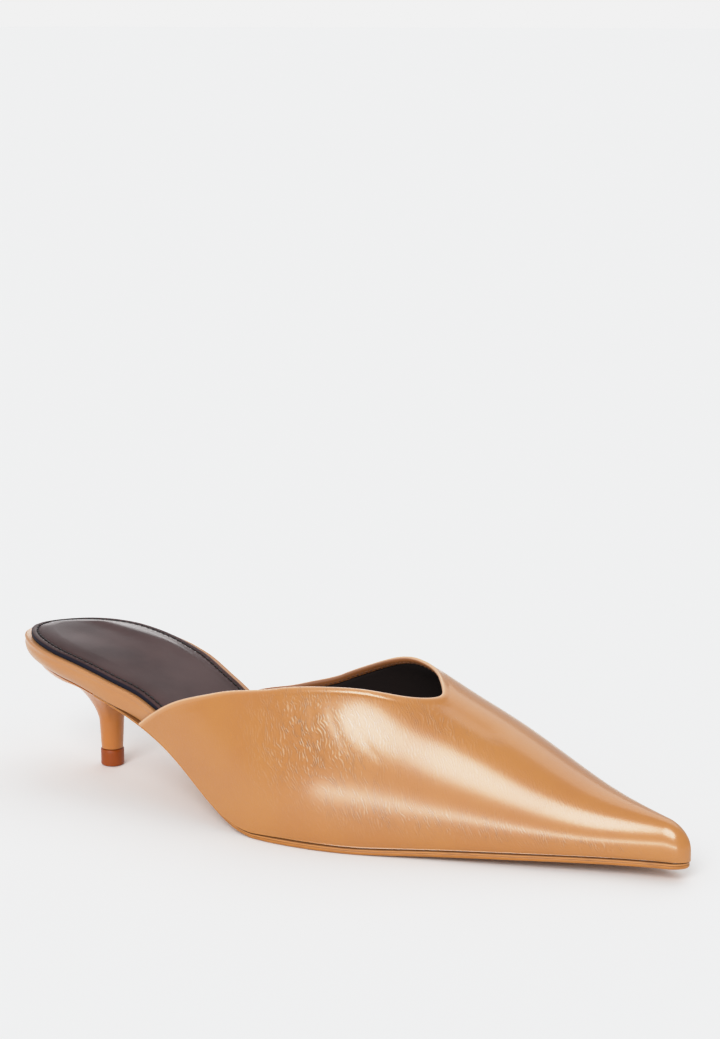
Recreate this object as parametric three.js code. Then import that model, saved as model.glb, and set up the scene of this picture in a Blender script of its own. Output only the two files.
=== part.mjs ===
// A right kitten heel mule: pointed closed toe, V-cut topline, open back, slim heel.
// Millimetres, +Z up, toe towards +X, lateral side towards -Y. Heights are from the floor.
import * as THREE from 'three';
import { mergeVertices } from 'three/addons/utils/BufferGeometryUtils.js';

// Driving dimensions of the last
const length = 270;
const ballWidth = 73;
const seatWidth = 54;
const heelHeight = 37.8;
const toeSpring = 4.6;
const archLift = 2.6;
const instepHeight = 58.6;
const noseHeight = 4;
const heelRound = 30;
const toeRound = 5;
const crownRound = 9;

// Driving dimensions of the pieces
const upperWall = 1.8;
const upperTuck = 1.2;
const tuckDepth = 4;
const clearance = 0.3;
const foreSole = 2.1;
const waistSole = 1;
const foreSoleMargin = 0.5;
const waistSoleMargin = 0.6;
const soleEdgeRound = 0.7;
const rimHeight = 10;
const waistRimHeight = 7.7;
const rimLean = 4.6;
const waistLean = 0.5;
const boardHeight = 3.2;
const rimRound = 1.1;
const rimTaper = 16;
const sockThickness = 2.2;
const sockMargin = 2.5;
const sockWaistMargin = 2.3;
const sockEdgeRound = 0.6;
const sockLength = 243;
const sockTipRound = 20;
const cupWall = 2.4;
const cupMargin = 0.2;
const breastPlace = 47;
const stemPlace = 35;
const stemTopRadius = 4.6;
const stemFootRadius = 4.05;
const stemTopHeight = 17;
const sweepFullness = 1.3;
const topPieceHeight = 6.4;
const topPieceRadius = 4.35;
const topPieceRound = 0.6;

// Half widths of the sole from the axis, as shares of the local width (seat or ball)
const outlineRows = [
  { at: 0.00, lateral: 0.390, medial: 0.300 },
  { at: 0.06, lateral: 0.448, medial: 0.430 },
  { at: 0.14, lateral: 0.504, medial: 0.493 },
  { at: 0.25, lateral: 0.552, medial: 0.426 },
  { at: 0.36, lateral: 0.559, medial: 0.323 },
  { at: 0.47, lateral: 0.569, medial: 0.337 },
  { at: 0.58, lateral: 0.523, medial: 0.436 },
  { at: 0.68, lateral: 0.400, medial: 0.471 },
  { at: 0.78, lateral: 0.282, medial: 0.405 },
  { at: 0.88, lateral: 0.159, medial: 0.277 },
  { at: 0.96, lateral: 0.077, medial: 0.134 },
  { at: 1.00, lateral: 0.049, medial: 0.063 },
];

// Underside of the sole: shares of the heel height (arch) and of the toe spring
const bottomRows = [
  { at: 0.00, arch: 1.000, spring: -0.10 },
  { at: 0.12, arch: 0.978, spring: -0.10 },
  { at: 0.24, arch: 0.791, spring: -0.10 },
  { at: 0.33, arch: 0.501, spring: -0.10 },
  { at: 0.40, arch: 0.165, spring: -0.10 },
  { at: 0.44, arch: 0.033, spring: -0.10 },
  { at: 0.49, arch: -0.010, spring: -0.10 },
  { at: 0.60, arch: -0.010, spring: -0.01 },
  { at: 0.74, arch: -0.010, spring: 0.40 },
  { at: 0.87, arch: -0.010, spring: 0.73 },
  { at: 1.00, arch: -0.010, spring: 1.00 },
];

// Crown line of the last: height above the sole as a share of the instep height,
// and its shift to the medial side as a share of the ball width
const crownRows = [
  { at: 0.26, height: 1.185, shift: -0.055 },
  { at: 0.44, height: 1.126, shift: -0.055 },
  { at: 0.54, height: 1.061, shift: -0.034 },
  { at: 0.60, height: 1.000, shift: -0.014 },
  { at: 0.64, height: 0.908, shift: 0.001 },
  { at: 0.68, height: 0.802, shift: 0.018 },
  { at: 0.72, height: 0.706, shift: 0.034 },
  { at: 0.76, height: 0.609, shift: 0.047 },
  { at: 0.82, height: 0.458, shift: 0.055 },
  { at: 0.88, height: 0.331, shift: 0.048 },
  { at: 0.94, height: 0.252, shift: 0.028 },
  { at: 1.00, height: 0.190, shift: 0.007 },
];

// Topline, from the lateral wing over the V at the vamp to the medial wing.
// Girth runs from -1 at the lateral sole edge over 0 at the crown to 1 at the medial sole edge.
const toplineRows = [
  { step: 0.00, girth: -1.000, at: 0.260 },
  { step: 0.10, girth: -0.872, at: 0.304 },
  { step: 0.25, girth: -0.660, at: 0.377 },
  { step: 0.36, girth: -0.480, at: 0.452 },
  { step: 0.44, girth: -0.375, at: 0.552 },
  { step: 0.49, girth: -0.290, at: 0.628 },
  { step: 0.515, girth: -0.220, at: 0.653 },
  { step: 0.54, girth: -0.145, at: 0.665 },
  { step: 0.57, girth: -0.070, at: 0.662 },
  { step: 0.61, girth: 0.040, at: 0.647 },
  { step: 0.65, girth: 0.155, at: 0.624 },
  { step: 0.69, girth: 0.250, at: 0.590 },
  { step: 0.74, girth: 0.365, at: 0.546 },
  { step: 0.80, girth: 0.480, at: 0.498 },
  { step: 0.87, girth: 0.620, at: 0.432 },
  { step: 0.94, girth: 0.800, at: 0.369 },
  { step: 1.00, girth: 1.000, at: 0.292 },
];

// Stations where one form blends into the next, as shares of the length
const blends = {
  seatToBall: [0.2, 0.5],
  waistRise: [0.08, 0.22],
  waistFall: [0.34, 0.48],
  forepart: [0.38, 0.52],
  rim: [0, 0.18],
  board: [0.27, 0.46],
  lean: [0.06, 0.22],
};

const lateral = -1;
const medial = 1;
const { clamp, lerp, smoothstep } = THREE.MathUtils;

// Natural cubic spline through one column of a table
function curve(rows, column, key = 'at') {
  const x = rows.map((row) => row[key]);
  const y = rows.map((row) => row[column]);
  const last = x.length - 1;
  const bend = new Array(x.length).fill(0);
  const carry = new Array(x.length).fill(0);
  for (let i = 1; i < last; i++) {
    const left = x[i] - x[i - 1];
    const right = x[i + 1] - x[i];
    const weight = left / (left + right);
    const pivot = weight * bend[i - 1] + 2;
    const jump = (y[i + 1] - y[i]) / right - (y[i] - y[i - 1]) / left;
    bend[i] = (weight - 1) / pivot;
    carry[i] = ((6 * jump) / (left + right) - weight * carry[i - 1]) / pivot;
  }
  bend[last] = 0;
  for (let i = last - 1; i >= 0; i--) bend[i] = bend[i] * bend[i + 1] + carry[i];
  return (value) => {
    let i = 0;
    while (i < last - 1 && value > x[i + 1]) i++;
    const span = x[i + 1] - x[i];
    const a = (x[i + 1] - value) / span;
    const b = (value - x[i]) / span;
    const bow = (a ** 3 - a) * bend[i] + (b ** 3 - b) * bend[i + 1];
    return a * y[i] + b * y[i + 1] + (bow * span * span) / 6;
  };
}

const lateralShare = curve(outlineRows, 'lateral');
const medialShare = curve(outlineRows, 'medial');
const archShare = curve(bottomRows, 'arch');
const springShare = curve(bottomRows, 'spring');
const crownHeight = curve(crownRows, 'height');
const crownShift = curve(crownRows, 'shift');
const toplineGirth = curve(toplineRows, 'girth', 'step');
const toplineAt = curve(toplineRows, 'at', 'step');

// Quarter round: 0 at the end, 1 from one radius inwards
function roundEnd(distance, radius) {
  const left = 1 - clamp(distance / radius, 0, 1);
  return Math.sqrt(1 - left * left);
}

const blend = (x, [from, to]) => smoothstep(x / length, from, to);
const seatOrBall = (x) => lerp(seatWidth, ballWidth, blend(x, blends.seatToBall));

// Sole edge in plan: y at a distance x from the heel's back, on one side
function edge(x, side, inset = 0, tip = length, tipRound = toeRound) {
  const width = seatOrBall(x);
  const out = lateralShare(x / length) * width;
  const inner = medialShare(x / length) * width;
  const half = (out + inner) / 2 - inset;
  const ends = roundEnd(x - inset, heelRound) * roundEnd(tip - inset - x, tipRound);
  return (inner - out) / 2 + side * half * ends;
}

// The medial side of the waist stands a little higher than the lateral side
const waist = (x) => blend(x, blends.waistRise) * (1 - blend(x, blends.waistFall));
const tilt = (x, y) => archLift * waist(x) * (0.5 + y / ballWidth);

// Underside of the sole, and its top where the upper and the footbed stand
const soleBottom = (x, y) => heelHeight * Math.max(0, archShare(x / length))
  + toeSpring * Math.max(0, springShare(x / length)) + tilt(x, y);
const forepart = (x) => blend(x, blends.forepart);
const soleThickness = (x) => lerp(waistSole, foreSole, forepart(x));
const footbedLean = (x) => lerp(rimLean, waistLean, blend(x, blends.lean));
const soleMargin = (x) => lerp(footbedLean(x) + waistSoleMargin, foreSoleMargin, forepart(x));
const soleTop = (x, y) => soleBottom(x, y) + soleThickness(x);

// Footbed: a tall wrapped rim behind the upper, a thin board inside it
const footbedBase = (x, y) => soleTop(x, y) + clearance;
const openRim = (x) => lerp(rimHeight, waistRimHeight, blend(x, blends.rim));
const footbedHeight = (x) => lerp(openRim(x), boardHeight, blend(x, blends.board));
const footbedTop = (x, y) => footbedBase(x, y) + footbedHeight(x);
const wingPlace = (side) => length * toplineRows[side === lateral ? 0 : toplineRows.length - 1].at;
function footbedInset(x, side) {
  const wing = wingPlace(side) - clearance;
  const insideWall = (upperWall + clearance) * smoothstep(x, wing - rimTaper, wing);
  return insideWall + upperTuck * forepart(x);
}

// Point of the last's surface; inset makes the inner face of the upper
function lastPoint(x, girth, inset = 0) {
  const side = girth < 0 ? lateral : medial;
  const turn = (1 - Math.abs(girth)) * Math.PI / 2;
  const nose = roundEnd(length - inset - x, crownRound);
  const full = instepHeight * crownHeight(x / length) - inset;
  const height = noseHeight + (full - noseHeight) * nose;
  const rise = height * Math.sin(turn);
  const ends = forepart(x) * roundEnd(length - inset - x, 2 * toeRound);
  const tuck = upperTuck * Math.exp(-rise / tuckDepth) * ends;
  const foot = edge(x, side, inset) - side * tuck;
  const crown = ballWidth * crownShift(x / length);
  const y = lerp(crown, foot, Math.cos(turn));
  return new THREE.Vector3(x, y, soleTop(x, y) + clearance + rise);
}

// Triangles of a four-cornered patch between four points
const quad = (a, b, c, d) => [a, b, c, a, c, d];

// Closed mesh from a list of corner points, three to a triangle
function solid(name, corners, material) {
  const geometry = new THREE.BufferGeometry().setFromPoints(corners);
  const merged = mergeVertices(geometry, 2e-3);
  const index = Array.from(merged.index.array);
  const kept = [];
  for (let i = 0; i < index.length; i += 3) {
    const [a, b, c] = index.slice(i, i + 3);
    if (a !== b && b !== c && a !== c) kept.push(a, b, c);
  }
  merged.setIndex(kept);
  merged.computeVertexNormals();
  const mesh = new THREE.Mesh(merged, new THREE.MeshStandardMaterial(material));
  mesh.name = name;
  return mesh;
}

// Slab between the two sides of the sole: rings from the underside out and up to the top face.
// A ring's inset and height are functions of the place along the shoe.
function slab({ from, to, steps, rings, squareHeel = false, tip = length, tipRound = toeRound }) {
  const share = (k) => 0.5 - 0.5 * Math.cos(Math.PI * k / steps);
  const point = ({ inset, height }, k, side) => {
    const start = from + (squareHeel ? 0 : inset(from, side));
    const x = lerp(start, to - inset(to, side), share(k));
    const y = edge(x, side, inset(x, side), tip, tipRound);
    return new THREE.Vector3(x, y, height(x, y));
  };
  const grid = rings.map((ring) => [lateral, medial].map((side) =>
    Array.from({ length: steps + 1 }, (_, k) => point(ring, k, side))));
  const corners = [];
  const bottom = grid[0];
  const top = grid[grid.length - 1];
  for (let k = 0; k < steps; k++) {
    corners.push(...quad(bottom[0][k], bottom[1][k], bottom[1][k + 1], bottom[0][k + 1]));
    corners.push(...quad(top[0][k], top[0][k + 1], top[1][k + 1], top[1][k]));
  }
  for (let r = 0; r + 1 < grid.length; r++) {
    const [low, high] = [grid[r], grid[r + 1]];
    for (let k = 0; k < steps; k++) {
      corners.push(...quad(low[0][k], low[0][k + 1], high[0][k + 1], high[0][k]));
      corners.push(...quad(low[1][k + 1], low[1][k], high[1][k], high[1][k + 1]));
    }
    corners.push(...quad(low[1][0], low[0][0], high[0][0], high[1][0]));
    corners.push(...quad(low[0][steps], low[1][steps], high[1][steps], high[0][steps]));
  }
  return corners;
}

// Outsole from the heel's breast to the toe, flat under the ball
function outsole() {
  const corners = slab({
    from: breastPlace + clearance,
    to: length,
    steps: 48,
    squareHeel: true,
    rings: [
      { inset: (x) => soleMargin(x) + soleEdgeRound, height: soleBottom },
      { inset: soleMargin, height: (x, y) => soleBottom(x, y) + soleEdgeRound },
      { inset: soleMargin, height: soleTop },
    ],
  });
  return solid('outsole', corners, { color: 0xb9762f, roughness: 0.45, metalness: 0 });
}

// Footbed: insole board wrapped in leather, its rim leaning in at the foot and rounded at the top
function footbed() {
  const ring = (lean, round, share) => ({
    inset: (x, side) => lean * footbedLean(x) + round * rimRound + footbedInset(x, side),
    height: (x, y) => footbedBase(x, y) + share * footbedHeight(x),
  });
  const corners = slab({
    from: 0,
    to: length,
    steps: 64,
    rings: [
      ring(1, 0, 0),
      ring(0.5, 0, 0.18),
      ring(0.12, 0, 0.5),
      ring(0, 0, 0.8),
      ring(0, 0.25, 0.92),
      ring(0, 1, 1),
    ],
  });
  return solid('footbed', corners, { color: 0xcf9764, roughness: 0.35, metalness: 0 });
}

// Dark padded sock on the footbed, set further in on the medial side of the waist
function sock() {
  const ring = (round, rise) => ({
    inset: (x, side) => sockMargin + footbedInset(x, side) + round
      + (side === medial ? sockWaistMargin * waist(x) : 0),
    height: (x, y) => footbedTop(x, y) + clearance + rise,
  });
  const corners = slab({
    from: 0,
    to: sockLength,
    tip: sockLength,
    tipRound: sockTipRound,
    steps: 48,
    rings: [ring(0, 0), ring(0, sockThickness - sockEdgeRound), ring(sockEdgeRound, sockThickness)],
  });
  return solid('sock', corners, { color: 0x4a3c3f, roughness: 0.5, metalness: 0 });
}

// Upper: one hollow shell from the sole edge over the crown, open at the topline and underneath
function upper() {
  const around = 44;
  const along = 34;
  const crowding = 1.8;
  const shell = (inset) => Array.from({ length: around + 1 }, (_, j) => {
    const step = j / around;
    const rear = { x: length * toplineAt(step), girth: clamp(toplineGirth(step), -1, 1) };
    return Array.from({ length: along + 1 }, (_, i) => {
      const share = 1 - (1 - i / along) ** crowding;
      const x = lerp(rear.x, length - inset, share);
      const girth = lerp(rear.girth, 2 * step - 1, smoothstep(share, 0, 1));
      return lastPoint(x, girth, inset);
    });
  });
  const outer = shell(0);
  const inner = shell(upperWall);
  const corners = [];
  for (let j = 0; j < around; j++) {
    for (let i = 0; i < along; i++) {
      corners.push(...quad(outer[j][i], outer[j][i + 1], outer[j + 1][i + 1], outer[j + 1][i]));
      corners.push(...quad(inner[j][i], inner[j + 1][i], inner[j + 1][i + 1], inner[j][i + 1]));
    }
    corners.push(...quad(outer[j][0], outer[j + 1][0], inner[j + 1][0], inner[j][0]));
  }
  for (let i = 0; i < along; i++) {
    const far = around;
    corners.push(...quad(outer[0][i + 1], outer[0][i], inner[0][i], inner[0][i + 1]));
    corners.push(...quad(outer[far][i], outer[far][i + 1], inner[far][i + 1], inner[far][i]));
  }
  return solid('upper', corners, { color: 0xcd935c, roughness: 0.28, metalness: 0 });
}

// Heel: a shallow cup under the seat that sweeps into the slim stem
function heel() {
  const cupInset = (x) => footbedLean(x) + cupMargin;
  const sideSteps = 16;
  const breastSteps = 8;
  const rim = [];
  for (const side of [lateral, medial]) {
    for (let k = 0; k < sideSteps; k++) {
      const back = side === lateral ? sideSteps - k : k;
      const share = 1 - Math.cos((Math.PI / 2) * back / sideSteps);
      const x = lerp(cupInset(0), breastPlace, share);
      rim.push(new THREE.Vector2(x, edge(x, side, cupInset(x))));
    }
  }
  const breastEnds = [medial, lateral].map((side) => edge(breastPlace, side, cupInset(breastPlace)));
  for (let k = 0; k < breastSteps; k++) {
    rim.push(new THREE.Vector2(breastPlace, lerp(breastEnds[0], breastEnds[1], k / breastSteps)));
  }
  const axis = new THREE.Vector2(stemPlace, 0);
  const turns = rim.map((point) => Math.atan2(point.y - axis.y, point.x - axis.x));
  const rings = [];
  const ring = (place, height) => rings.push(rim.map((point, k) => {
    const at = place(point, turns[k]);
    return new THREE.Vector3(at.x, at.y, height(at, point));
  }));
  const onStem = (radius) => (point, turn) =>
    new THREE.Vector2(axis.x + radius * Math.cos(turn), axis.y + radius * Math.sin(turn));
  for (const share of [0.25, 0.5, 0.75, 1]) {
    ring((point) => axis.clone().lerp(point, share), (at) => soleTop(at.x, at.y));
  }
  const sweepSteps = 9;
  for (let k = 0; k <= sweepSteps; k++) {
    const turn = (Math.PI / 2) * k / sweepSteps;
    const inward = Math.sin(turn) ** sweepFullness;
    const down = 1 - Math.cos(turn) ** sweepFullness;
    ring((point, angle) => point.clone().lerp(onStem(stemTopRadius)(point, angle), inward),
      (at, point) => lerp(soleTop(point.x, point.y) - cupWall, stemTopHeight, down));
  }
  const foot = topPieceHeight + clearance;
  ring(onStem(stemFootRadius), () => foot);
  const corners = [];
  const crown = new THREE.Vector3(axis.x, axis.y, soleTop(axis.x, axis.y));
  const heart = new THREE.Vector3(axis.x, axis.y, foot);
  const sole = rings[rings.length - 1];
  for (let k = 0; k < rim.length; k++) {
    const next = (k + 1) % rim.length;
    corners.push(crown, rings[0][next], rings[0][k]);
    corners.push(heart, sole[k], sole[next]);
    for (let r = 0; r + 1 < rings.length; r++) {
      const [high, low] = [rings[r], rings[r + 1]];
      corners.push(...quad(high[k], high[next], low[next], low[k]));
    }
  }
  return solid('heel', corners, { color: 0xc98f5b, roughness: 0.3, metalness: 0 });
}

// Top piece: the small wearing cap under the stem
function topPiece() {
  const profile = [
    new THREE.Vector2(0, 0),
    new THREE.Vector2(topPieceRadius - topPieceRound, 0),
    new THREE.Vector2(topPieceRadius - 0.3 * topPieceRound, 0.3 * topPieceRound),
    new THREE.Vector2(topPieceRadius, topPieceRound),
    new THREE.Vector2(topPieceRadius, topPieceHeight),
    new THREE.Vector2(0, topPieceHeight),
  ];
  const lathe = new THREE.LatheGeometry(profile, 32).rotateX(Math.PI / 2).toNonIndexed();
  const place = lathe.getAttribute('position');
  const corners = Array.from({ length: place.count }, (_, k) =>
    new THREE.Vector3().fromBufferAttribute(place, k).add(new THREE.Vector3(stemPlace, 0, 0)));
  return solid('top_piece', corners, { color: 0xa85a2a, roughness: 0.55, metalness: 0 });
}

const mule = new THREE.Group();
mule.add(outsole(), footbed(), sock(), upper(), heel(), topPiece());

// The origin is on the floor under the middle of the shoe's box
const box = new THREE.Box3().setFromObject(mule);
const middle = box.getCenter(new THREE.Vector3());
mule.position.set(-middle.x, -middle.y, 0);

export default mule;
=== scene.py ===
"""Right kitten heel mule: surfaces, finishes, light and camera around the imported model."""

import logging
import math
from dataclasses import dataclass, field
from enum import IntEnum
from typing import Any, Callable, Sequence

import bmesh
import bpy
import numpy as np
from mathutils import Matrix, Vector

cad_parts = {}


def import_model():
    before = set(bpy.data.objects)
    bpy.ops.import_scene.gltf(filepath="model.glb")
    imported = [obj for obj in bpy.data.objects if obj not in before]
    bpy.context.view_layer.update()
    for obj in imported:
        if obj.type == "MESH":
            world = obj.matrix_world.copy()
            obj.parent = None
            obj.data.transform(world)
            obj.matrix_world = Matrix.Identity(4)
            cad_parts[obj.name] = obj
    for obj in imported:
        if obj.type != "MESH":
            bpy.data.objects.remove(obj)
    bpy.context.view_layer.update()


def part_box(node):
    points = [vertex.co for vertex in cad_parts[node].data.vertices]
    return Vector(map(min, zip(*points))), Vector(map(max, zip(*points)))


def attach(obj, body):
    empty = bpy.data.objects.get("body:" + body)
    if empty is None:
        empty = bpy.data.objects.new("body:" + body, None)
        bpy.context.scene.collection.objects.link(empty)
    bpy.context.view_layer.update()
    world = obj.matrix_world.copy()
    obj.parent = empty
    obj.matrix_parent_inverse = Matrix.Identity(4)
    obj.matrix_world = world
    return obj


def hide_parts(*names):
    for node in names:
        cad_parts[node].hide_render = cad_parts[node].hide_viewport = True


log = logging.getLogger("mule")

MM = 0.001
STEM_PLACE = 35.0
Array = np.ndarray
Span = tuple[float, float]
Triple = tuple[float, float, float]
Colour = tuple[float, float, float, float]


class Side(IntEnum):
    """Side of the right shoe, as the sign of y."""

    LATERAL = -1
    MEDIAL = 1


InsetRule = Callable[[Array, Side], Array]
HeightRule = Callable[[Array, Array], Array]

# Tables of the last, read by the share of its length from the heel's back to the toe
OUTLINE = {
    "at": (0.00, 0.06, 0.14, 0.25, 0.36, 0.47, 0.58, 0.68, 0.78, 0.88, 0.96, 1.00),
    "lateral": (0.390, 0.448, 0.504, 0.552, 0.559, 0.569, 0.523, 0.400, 0.282, 0.159, 0.077, 0.049),
    "medial": (0.300, 0.430, 0.493, 0.426, 0.323, 0.337, 0.436, 0.471, 0.405, 0.277, 0.134, 0.063),
}

BOTTOM = {
    "at": (0.00, 0.12, 0.24, 0.33, 0.40, 0.44, 0.49, 0.60, 0.74, 0.87, 1.00),
    "arch": (1.000, 0.978, 0.791, 0.501, 0.165, 0.033, -0.010, -0.010, -0.010, -0.010, -0.010),
    "spring": (-0.10, -0.10, -0.10, -0.10, -0.10, -0.10, -0.10, -0.01, 0.40, 0.73, 1.00),
}

CROWN = {
    "at": (0.26, 0.44, 0.54, 0.60, 0.64, 0.68, 0.72, 0.76, 0.82, 0.88, 0.94, 1.00),
    "height": (1.185, 1.126, 1.061, 1.000, 0.908, 0.802, 0.706, 0.609, 0.458, 0.331, 0.252, 0.190),
    "shift": (-0.055, -0.055, -0.034, -0.014, 0.001, 0.018, 0.034, 0.047, 0.055, 0.048, 0.028, 0.007),
}

# The topline from the lateral wing, at step 0, round the front to the medial wing, at step 1
TOPLINE = {
    "step": (0.00, 0.10, 0.25, 0.36, 0.44, 0.49, 0.515, 0.54, 0.57,
             0.61, 0.65, 0.69, 0.74, 0.80, 0.87, 0.94, 1.00),
    "girth": (-1.000, -0.872, -0.660, -0.480, -0.375, -0.290, -0.220, -0.145, -0.070,
              0.040, 0.155, 0.250, 0.365, 0.480, 0.620, 0.800, 1.000),
    "at": (0.260, 0.304, 0.377, 0.452, 0.552, 0.628, 0.653, 0.665, 0.662,
           0.647, 0.624, 0.590, 0.546, 0.498, 0.432, 0.369, 0.292),
}

# Crinkled patches: weight, middle and reach along the shoe, middle and reach over the girth
PATCHES = (
    (1.0, 147.0, 22.0, -0.60, 0.23),
    (0.45, 184.0, 16.0, -0.32, 0.11),
    (0.6, 160.0, 34.0, 0.45, 0.22),
)

# Long patches: weight, rise and fall along the shoe, middle and reach over the girth
LONG_PATCHES = (
    (0.6, (145.0, 172.0), (240.0, 264.0), -0.84, 0.09),
    (0.3, (150.0, 180.0), (246.0, 262.0), -0.53, 0.15),
)

# The sock's edge: inset and rise of each ring, up to the groove and on from it to the pad
SOCK_EDGE = (
    (0.25, 0.0), (0.05, 0.15), (0.0, 0.35), (0.0, 0.8), (0.0, 1.2), (0.06, 1.45),
    (0.25, 1.62), (0.55, 1.70), (1.2, 1.76), (1.8, 1.72), (2.2, 1.50),
)
SOCK_PAD = ((2.6, 1.50), (3.0, 1.75), (3.8, 2.00), (5.0, 2.25), (6.5, 2.45), (8.5, 2.60))


def smoothstep(value: Array, low: float, high: float) -> Array:
    """Smooth ramp from 0 at low to 1 at high: 3t squared less 2t cubed."""
    t = np.clip((np.asarray(value, float) - low) / (high - low), 0.0, 1.0)
    return t * t * (3.0 - 2.0 * t)


def lerp(a: Any, b: Any, t: Any) -> Any:
    """Value the share t of the way from a to b."""
    return a + (b - a) * t


def round_end(distance: Array, radius: float) -> Array:
    """Quarter round: 0 at the end, 1 from one radius inwards."""
    left = 1.0 - np.clip(distance / radius, 0.0, 1.0)
    return np.sqrt(1.0 - left * left)


def bump(value: Array, middle: float, reach: float) -> Array:
    """Bell of height 1 around middle: e to the minus square of the distance over reach."""
    return np.exp(-(((value - middle) / reach) ** 2))


def plateau(value: Array, rise: Span, fall: Span) -> Array:
    """1 between a smooth ramp up and a smooth ramp down, 0 outside them."""
    return smoothstep(value, *rise) * (1.0 - smoothstep(value, *fall))


def unit(vectors: Array) -> Array:
    """The vectors brought to length 1."""
    return vectors / np.maximum(np.linalg.norm(vectors, axis=-1, keepdims=True), 1e-9)


def side_of(girth: Array) -> Array:
    """Side of the shoe on which each girth lies."""
    return np.where(girth < 0, Side.LATERAL, Side.MEDIAL)


class Spline:
    """Natural cubic spline through one column of a table.

    The second derivatives solve the usual three-banded system, with none at the two ends.
    """

    def __init__(self, table: dict[str, Sequence[float]], column: str, key: str = "at") -> None:
        """Solves the spline.

        Args:
            table: Columns of equal length.
            column: The column that the spline gives.
            key: The column that it is read by.
        """
        self.x = np.array(table[key], float)
        self.y = np.array(table[column], float)
        span = np.diff(self.x)
        count = len(self.x)
        inner = np.arange(1, count - 1)
        matrix = np.eye(count)
        matrix[inner, inner - 1] = span[:-1]
        matrix[inner, inner] = 2.0 * (span[:-1] + span[1:])
        matrix[inner, inner + 1] = span[1:]
        slope = np.diff(self.y) / span
        jump = np.zeros(count)
        jump[1:-1] = 6.0 * np.diff(slope)
        self.bend = np.linalg.solve(matrix, jump)

    def __call__(self, value: Array) -> Array:
        """Value of the spline: the cubic between the two nearest rows of the table.

        Args:
            value: Places in the table's key column.

        Returns:
            The spline at each place.
        """
        i = np.clip(np.searchsorted(self.x, value) - 1, 0, len(self.x) - 2)
        span = self.x[i + 1] - self.x[i]
        a = (self.x[i + 1] - value) / span
        b = (value - self.x[i]) / span
        bow = (a**3 - a) * self.bend[i] + (b**3 - b) * self.bend[i + 1]
        return a * self.y[i] + b * self.y[i + 1] + bow * span * span / 6.0


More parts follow.
